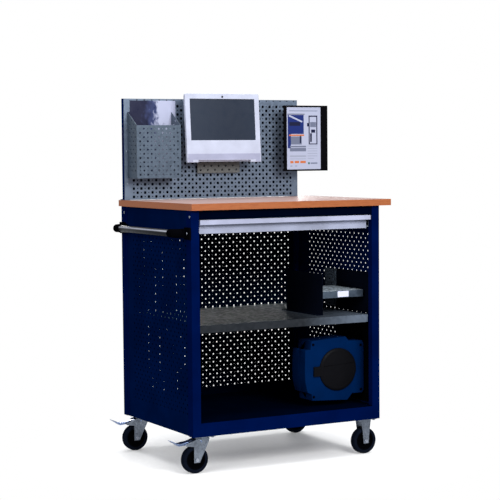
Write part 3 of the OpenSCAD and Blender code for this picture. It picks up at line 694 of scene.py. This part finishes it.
def sheet_marks():
    """Small dark rivets along the top of the upper sheet, over every second column of holes."""
    low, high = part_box("upper_sheet")
    rivet = [(3 * MM, 0), (3 * MM, 0.3 * MM), (0, 0.5 * MM)]
    rivets = 23
    bm = bmesh.new()
    for i in range(rivets):
        place = (low[0] + 70 * MM + 2 * PITCH * i, low[1], high[2] - 6 * MM)
        add_lathe(bm, rivet, place, (0, -1, 0), 12, closed=False)
    piece("upper_rivets", mesh_of(bm, "upper_rivets", BLACK_PLASTIC), "cabinet")


sheet_marks()

SCREEN_LEAN = math.radians(-4)
SCREEN_WIDE = 410 * MM
SCREEN_TALL = 336 * MM
BEZEL_THICK = 14 * MM


def screen_place():
    """From the screen's own upright axes, with its face at y = 0, to the bench."""
    low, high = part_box("screen_bezel")
    middle = Vector([(a + b) / 2 for a, b in zip(low, high)])
    turn = Matrix.Rotation(SCREEN_LEAN, 4, "X")
    return Matrix.Translation(middle) @ turn @ Matrix.Translation((0, -BEZEL_THICK / 2, 0))


SCREEN = screen_place()


def screen_details():
    """Softer edges, and the chin panel and camera eye that sit on the front of the screen; the chin's
    darker plastic is painted shade.
    """
    soften("screen_bezel", 1.2 * MM, 3)
    soften("screen_rear_cover", 3 * MM, 3)
    soften("screen_tilt_head", 0.6 * MM)
    soften("screen_glass", 0.2 * MM)
    bottom = -SCREEN_TALL / 2
    bm = bmesh.new()
    half = SCREEN_WIDE / 2 - 4 * MM
    front, back = -0.25 * MM, 0.5 * MM
    step = bottom + 12 * MM
    corner = 27 * MM
    add_box(bm, (-half, front, step), (half, back, bottom + 42 * MM), 0, SCREEN)
    for left, right in ((-half, -half + corner), (half - corner, half)):
        add_box(bm, (left, front, bottom + 2 * MM), (right, back, step), 0, SCREEN)
    round_edges(bm, 0.2 * MM, 1)
    piece("screen_chin", mesh_of(bm, "screen_chin", CHIN_SHADE_PLASTIC), "screen")
    bm = bmesh.new()
    eye = SCREEN @ Vector((0, 0.2 * MM, SCREEN_TALL / 2 - 15 * MM))
    out = SCREEN.to_3x3() @ Vector((0, -1, 0))
    lens = [(5.5 * MM, 0), (5.5 * MM, 0.5 * MM), (4.2 * MM, 0.6 * MM), (3.4 * MM, 0.3 * MM),
            (0, 0.45 * MM)]
    add_lathe(bm, lens, eye, out, 24, closed=False)
    piece("camera_eye", mesh_of(bm, "camera_eye", GLOSS_BLACK), "screen")


screen_details()


def display_details():
    """The printed page under its clear sleeve, and the frame's softer edges."""
    soften("display_frame", 2.5 * MM, 3, GLOSS_BLACK)
    soften("display_page", 0.2 * MM)
    low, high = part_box("display_page")
    wide, tall = high[0] - low[0], high[2] - low[2]
    face = low[1]
    looks = [PRINT_BLUE, PRINT_NAVY, PRINT_GREY, PRINT_PALE, PRINT_ORANGE, PRINT_GREEN, PAGE]
    blue, navy, grey, pale, orange, green, white = range(7)
    # Left, top, right and bottom as shares of the page, from its upper left corner, and the ink.
    blocks = [
        (0.07, 0.055, 0.91, 0.066, grey), (0.02, 0.107, 0.53, 0.118, navy),
        (0.03, 0.125, 0.50, 0.43, blue), (0.03, 0.43, 0.12, 0.66, blue),
        (0.12, 0.47, 0.44, 0.60, grey), (0.38, 0.45, 0.42, 0.58, navy),
        (0.07, 0.44, 0.51, 0.462, orange), (0.08, 0.24, 0.40, 0.30, navy),
        (0.645, 0.135, 0.905, 0.155, navy), (0.645, 0.135, 0.675, 0.60, navy),
        (0.875, 0.135, 0.905, 0.60, navy), (0.645, 0.585, 0.905, 0.60, navy),
        (0.69, 0.24, 0.865, 0.32, grey), (0.72, 0.36, 0.84, 0.41, navy),
        (0.60, 0.255, 0.66, 0.31, navy), (0.69, 0.42, 0.74, 0.56, navy),
        (0.09, 0.62, 0.565, 0.645, grey), (0.09, 0.655, 0.565, 0.71, grey),
        (0.09, 0.775, 0.565, 0.80, pale), (0.09, 0.825, 0.565, 0.835, pale),
        (0.10, 0.863, 0.19, 0.90, orange), (0.23, 0.863, 0.355, 0.90, orange),
        (0.395, 0.863, 0.555, 0.90, orange), (0.625, 0.888, 0.672, 0.918, green),
        (0.70, 0.892, 0.90, 0.912, grey),
    ]
    blocks += [(0.61, v, 0.90, v + 0.01, pale) for v in (0.62, 0.66, 0.70, 0.74, 0.78)]
    blocks += [(0.61, 0.82, 0.80, 0.83, pale), (0.10, 0.94, 0.16, 0.95, grey),
               (0.24, 0.94, 0.30, 0.95, grey)]
    bm = bmesh.new()
    for i, (u0, v0, u1, v1, look) in enumerate(blocks):
        lift = (0.06 + 0.004 * i) * MM
        add_box(bm, (low[0] + u0 * wide, face - lift, high[2] - v1 * tall),
                (low[0] + u1 * wide, face + 0.02 * MM, high[2] - v0 * tall), look)
    middle = Matrix.Translation((low[0] + 0.27 * wide, face, high[2] - 0.19 * tall))
    slope = middle @ Matrix.Rotation(math.radians(22), 4, "Y")
    add_box(bm, (-0.22 * wide, -0.25 * MM, -0.012 * tall), (0.20 * wide, 0, 0.014 * tall), white, slope)
    piece("page_print", mesh_of(bm, "page_print", *looks), "display_panel")


display_details()


# ---------------------------------------------------------------- side shelf and reel

def shelf_label():
    """A plain label on the folded rim of the side shelf."""
    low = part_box("side_shelf")[0]
    left, bottom = low[0] + 82 * MM, low[2] + 3 * MM
    wide, tall, thick = 62 * MM, 28 * MM, 0.3 * MM
    bm = bmesh.new()
    add_box(bm, (left, low[1] - thick, bottom), (left + wide, low[1], bottom + tall))
    round_edges(bm, 0.1 * MM, 1)
    piece("shelf_label", mesh_of(bm, "shelf_label", LABEL), "cabinet")


shelf_label()


def reel():
    """Shell edges, corner screws and a stepped cover with a dark line across it, painted shade for a
    groove.
    """
    soften("reel_front_shell", 5 * MM, 3)
    soften("reel_rear_shell", 2 * MM, 2)
    low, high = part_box("reel_cover")
    radius = (high[2] - low[2]) / 2
    centre_x, centre_z = high[0] - radius, (high[2] + low[2]) / 2
    depth = high[1] - low[1]
    # Each point of the crown as shares of the cover's radius and depth.
    crown = [(0, 1), (0.30, 1), (0.78, 43 / 48), (0.82, 39 / 48), (0.84, 40 / 48), (0.91, 34 / 48),
             (0.985, 24 / 48), (1, 18 / 48), (1, 0), (0, 0)]
    profile = [(radius * r, depth * h) for r, h in crown]
    bm = bmesh.new()
    add_lathe(bm, profile, (centre_x, high[1], centre_z), (0, -1, 0), 96, closed=False)
    lug_depth = 9 * MM
    lug = bmesh.new()
    add_box(lug, (low[0], high[1] - lug_depth, centre_z - 26 * MM),
            (centre_x - 0.84 * radius, high[1], centre_z + 20 * MM))
    round_edges(lug, 2 * MM, 2)
    mesh = bpy.data.meshes.new("lug")
    lug.to_mesh(mesh)
    lug.free()
    bm.from_mesh(mesh)
    bpy.data.meshes.remove(mesh)
    piece("reel_lid", mesh_of(bm, "reel_lid", LID_BLACK), "cabinet", ["reel_cover"])
    # A black strip across the cover stands for the shade in a groove: painted shade.
    bm = bmesh.new()
    middle = Matrix.Translation((centre_x, low[1] + 0.2 * MM, centre_z + 24 * MM))
    slope = middle @ Matrix.Rotation(math.radians(-3), 4, "Y")
    half = 0.80 * radius
    add_box(bm, (-half, -0.3 * MM, -1 * MM), (half, 3 * MM, 1 * MM), 0, slope)
    piece("lid_groove_shade", mesh_of(bm, "lid_groove_shade", GLOSS_BLACK), "cabinet")
    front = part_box("reel_front_shell")[0][1]
    head = [(6.5 * MM, 0), (6.5 * MM, 1.2 * MM), (4.2 * MM, 1.6 * MM), (3.6 * MM, 0.4 * MM), (0, 0.4 * MM)]
    bm = bmesh.new()
    for x, z in ((-135, 126), (132, 108), (132, -107), (-133, -124)):
        place = (centre_x + x * MM, front, centre_z + z * MM)
        add_lathe(bm, head, place, (0, -1, 0), 20, closed=False)
    piece("reel_screws", mesh_of(bm, "reel_screws", BLACK_PLASTIC), "cabinet")


reel()


# ---------------------------------------------------------------- castors

def mirrored(side):
    """The outline of one side of a wheel, carried on round the other side."""
    return side + [(r, -h) for r, h in reversed(side)]


def tyre(where):
    """A tyre with rounded shoulders, in place of the plain one; returns its middle and half width."""
    low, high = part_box("tyre_" + where)
    centre = [(a + b) / 2 for a, b in zip(low, high)]
    radius = (high[2] - low[2]) / 2
    half = (high[1] - low[1]) / 2
    inner = 46.2 * MM
    wall = [(inner, half - 3 * MM), (inner + 2 * MM, half - 1 * MM), (inner + 5 * MM, half - 0.6 * MM),
            (radius - 6 * MM, half), (radius - 2.5 * MM, half - 1.5 * MM),
            (radius - 0.6 * MM, half - 5 * MM), (radius, half - 9 * MM)]
    bm = bmesh.new()
    add_lathe(bm, mirrored(wall), centre, (0, 1, 0), 96)
    mesh = mesh_of(bm, "tread_" + where, TYRE)
    piece("tread_" + where, mesh, "wheel_" + where, ["tyre_" + where])
    return centre, half


def wheel_centre(where, centre, half):
    """A wheel centre with eight ribs, in place of the plain one."""
    low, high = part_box("hub_" + where)
    boss = (high[1] - low[1]) / 2
    rim = (high[2] - low[2]) / 2
    side = [(6.1 * MM, boss), (14.5 * MM, boss), (16 * MM, boss - 1.5 * MM), (18 * MM, 9 * MM),
            (37 * MM, 8 * MM), (39.5 * MM, half - 4 * MM), (41 * MM, half - 3 * MM),
            (rim - 0.8 * MM, half - 3 * MM), (rim, half - 4 * MM)]
    bm = bmesh.new()
    add_lathe(bm, mirrored(side), centre, (0, 1, 0), 72)
    ribs = 8
    for i in range(ribs):
        turn = Matrix.Translation(centre) @ Matrix.Rotation(2 * math.pi * i / ribs, 4, "Y")
        add_box(bm, (17 * MM, -12 * MM, -1.2 * MM), (38.5 * MM, 12 * MM, 1.2 * MM), 0, turn)
    mesh = mesh_of(bm, "centre_" + where, BLACK_PLASTIC)
    piece("centre_" + where, mesh, "wheel_" + where, ["hub_" + where])


for corner in ("front_left", "rear_left", "front_right", "rear_right"):
    wheel_middle, half_width = tyre(corner)
    wheel_centre(corner, wheel_middle, half_width)
soften_all(["castor_plates", "castor_bolts", "fork_front_left", "fork_rear_left", "fixed_forks"], 0.7 * MM)
soften_all(["axle_front_left", "axle_rear_left", "fixed_axles"], 0.7 * MM, SCREW_ZINC)
soften_all(["brake_pedal_front_left", "brake_pedal_rear_left"], 1.2 * MM, PEDAL, 3)


# ---------------------------------------------------------------- light and floor

FLOOR_RADIUS = 9.0
FLOOR_RINGS = 24
FADE_START, FADE_END = 0.45, 1.15    # distances from the bench's middle
FADE_LEAST = 0.16                    # how see-through the floor is under the bench


def make_floor():
    """A pale floor that fades into the white surroundings away from the bench."""
    rings = [(FLOOR_RADIUS * i / FLOOR_RINGS, 0) for i in range(FLOOR_RINGS + 1)]
    bm = bmesh.new()
    add_lathe(bm, rings, (0, 0, -0.5 * MM), (0, 0, 1), 96, closed=False)
    mesh = mesh_of(bm, "floor")
    floor = bpy.data.objects.new("floor", mesh)
    bpy.context.scene.collection.objects.link(floor)
    s = Surface("pale_floor", roughness=0.75, specular=0.1)
    s.colour(s.ramp(s.noise(40, 4), (0.3, srgb(250, 250, 250)), (0.7, srgb(254, 254, 254))))
    clear = s.node("ShaderNodeBsdfTransparent")
    radius = s.node("ShaderNodeVectorMath")
    radius.operation = "LENGTH"
    s.link(s.place, radius.inputs[0])
    fade = s.node("ShaderNodeMapRange")
    fade.interpolation_type = "SMOOTHSTEP"
    fade.inputs["From Min"].default_value = FADE_START
    fade.inputs["From Max"].default_value = FADE_END
    fade.inputs["To Min"].default_value = FADE_LEAST
    s.link(radius.outputs["Value"], fade.inputs["Value"])
    both = s.node("ShaderNodeMixShader")
    s.link(fade.outputs["Result"], both.inputs["Fac"])
    s.link(s.shader.outputs["BSDF"], both.inputs[1])
    s.link(clear.outputs["BSDF"], both.inputs[2])
    s.link(both.outputs["Shader"], s.tree.nodes["Material Output"].inputs["Surface"])
    mesh.materials.append(s.mat)


def make_light(name, place, target, size, power):
    light = bpy.data.objects.new(name, bpy.data.lights.new(name, "AREA"))
    bpy.context.scene.collection.objects.link(light)
    light.data.shape = "RECTANGLE"
    light.data.size, light.data.size_y = size
    light.data.energy = power
    light.location = place
    light.rotation_euler = (Vector(target) - Vector(place)).to_track_quat("-Z", "Y").to_euler()


def make_surroundings():
    """White to the camera, softer and dimmer as a light, as in a photo studio."""
    world = bpy.data.worlds.new("studio")
    bpy.context.scene.world = world
    world.use_nodes = True
    tree = world.node_tree
    background = tree.nodes["Background"]
    path = tree.nodes.new("ShaderNodeLightPath")
    seen = tree.nodes.new("ShaderNodeBackground")
    seen.inputs["Color"].default_value = (1, 1, 1, 1)
    seen.inputs["Strength"].default_value = 1.0
    background.inputs["Color"].default_value = (0.92, 0.95, 1.0, 1)
    background.inputs["Strength"].default_value = 0.50
    both = tree.nodes.new("ShaderNodeMixShader")
    tree.links.new(path.outputs["Is Camera Ray"], both.inputs["Fac"])
    tree.links.new(background.outputs["Background"], both.inputs[1])
    tree.links.new(seen.outputs["Background"], both.inputs[2])
    tree.links.new(both.outputs["Shader"], tree.nodes["World Output"].inputs["Surface"])


make_floor()
make_surroundings()
MIDDLE = (0, 0, 0.9)
make_light("key", (0.3, -5.0, 3.4), MIDDLE, (2.6, 2.0), 270)
make_light("fill", (-4.4, -2.2, 2.6), MIDDLE, (2.0, 2.0), 80)
make_light("rear", (1.8, 4.8, 2.0), MIDDLE, (2.4, 2.0), 90)
make_light("top", (0, 0, 4.4), (0, 0, 1), (3.6, 3.6), 190)
bpy.context.scene.view_settings.view_transform = "Standard"
